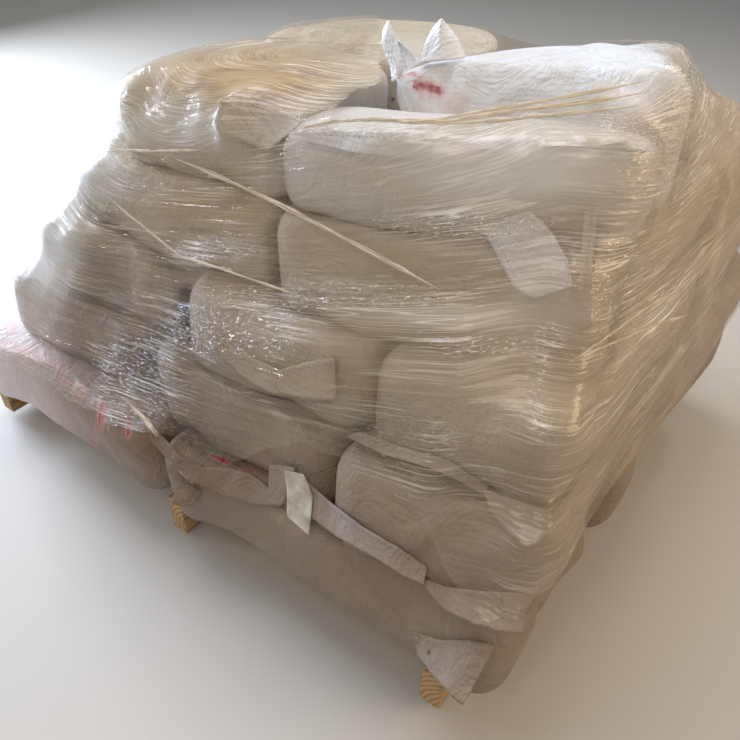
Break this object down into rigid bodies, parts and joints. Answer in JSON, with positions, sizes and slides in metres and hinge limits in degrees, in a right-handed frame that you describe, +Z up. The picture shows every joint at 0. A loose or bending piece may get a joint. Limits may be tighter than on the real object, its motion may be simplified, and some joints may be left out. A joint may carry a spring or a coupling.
{
  "type": "pallet of sacks",
  "caption": "Wooden pallet stacked with layers of filled woven plastic sacks, leaning and wrapped in dusty clear stretch film, with the front left open at the foot.",
  "frame": {"origin": "centre of the load's footprint at floor level, under the middle of the whole object's box", "axes": "+X to the right along the front, +Y to the back of the load, +Z up"},
  "size_m": [1.3128, 1.0642, 0.9159],
  "materials": {
    "pallet_pine": "rough sawn",
    "woven_sack": "woven polypropylene tape, dusty",
    "stretch_film": "clear glossy film, dusty",
    "tag_paper": "matte, creased"
  },
  "bodies": {
    "root": {"stringer_left": "pallet_pine", "stringer_middle": "pallet_pine", "stringer_right": "pallet_pine", "deck_board_1": "pallet_pine", "deck_board_2": "pallet_pine", "deck_board_3": "pallet_pine", "deck_board_4": "pallet_pine", "deck_board_5": "pallet_pine", "deck_board_6": "pallet_pine", "deck_board_7": "pallet_pine", "bottom_board_1": "pallet_pine", "bottom_board_2": "pallet_pine", "bottom_board_3": "pallet_pine", "sack_first_1": "woven_sack", "sack_first_2": "woven_sack", "sack_first_3": "woven_sack", "sack_first_4": "woven_sack", "sack_first_5": "woven_sack", "sack_second_1": "woven_sack", "sack_second_2": "woven_sack", "sack_second_3": "woven_sack", "sack_second_4": "woven_sack", "sack_second_5": "woven_sack", "sack_third_1": "woven_sack", "sack_third_2": "woven_sack", "sack_third_3": "woven_sack", "sack_third_4": "woven_sack", "sack_third_5": "woven_sack", "sack_fourth_1": "woven_sack", "sack_fourth_2": "woven_sack", "sack_fourth_3": "woven_sack", "sack_fourth_4": "woven_sack", "sack_top_1": "woven_sack", "sack_top_2": "woven_sack", "sack_top_3": "woven_sack", "sack_top_4": "woven_sack", "stretch_film": "stretch_film", "hem_tag": "tag_paper"}
  },
  "joints": []
}
